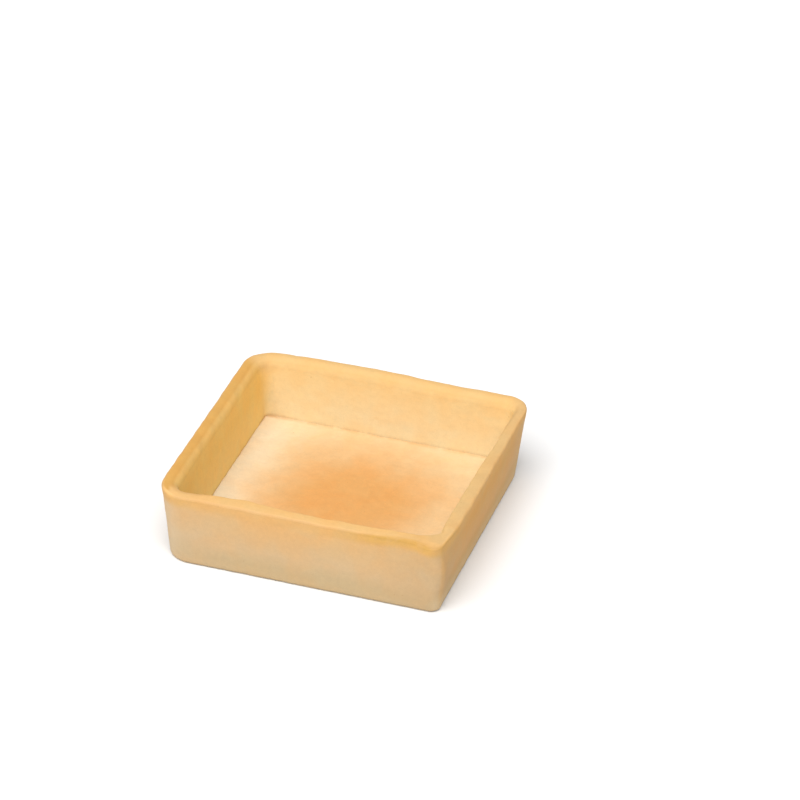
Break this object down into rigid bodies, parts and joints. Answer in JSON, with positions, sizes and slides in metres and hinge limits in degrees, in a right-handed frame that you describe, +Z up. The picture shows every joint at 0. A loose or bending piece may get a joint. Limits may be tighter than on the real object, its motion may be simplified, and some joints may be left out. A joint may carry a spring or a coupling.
{
  "type": "square tart case",
  "caption": "Empty square tart case of baked shortcrust pastry: a low open tray with drafted walls, rounded corners and a flat floor, made to hold a sweet or savoury filling.",
  "frame": {"origin": "centre of the underside, on the surface that the case stands on", "axes": "+Z up, out of the open top; +X and +Y square to the walls, which are all alike"},
  "size_m": [0.0698, 0.0698, 0.019],
  "materials": {
    "wall_pastry": "matte",
    "floor_pastry": "matte"
  },
  "bodies": {
    "root": {"wall_band": "wall_pastry", "base_sheet": "floor_pastry"}
  },
  "joints": []
}
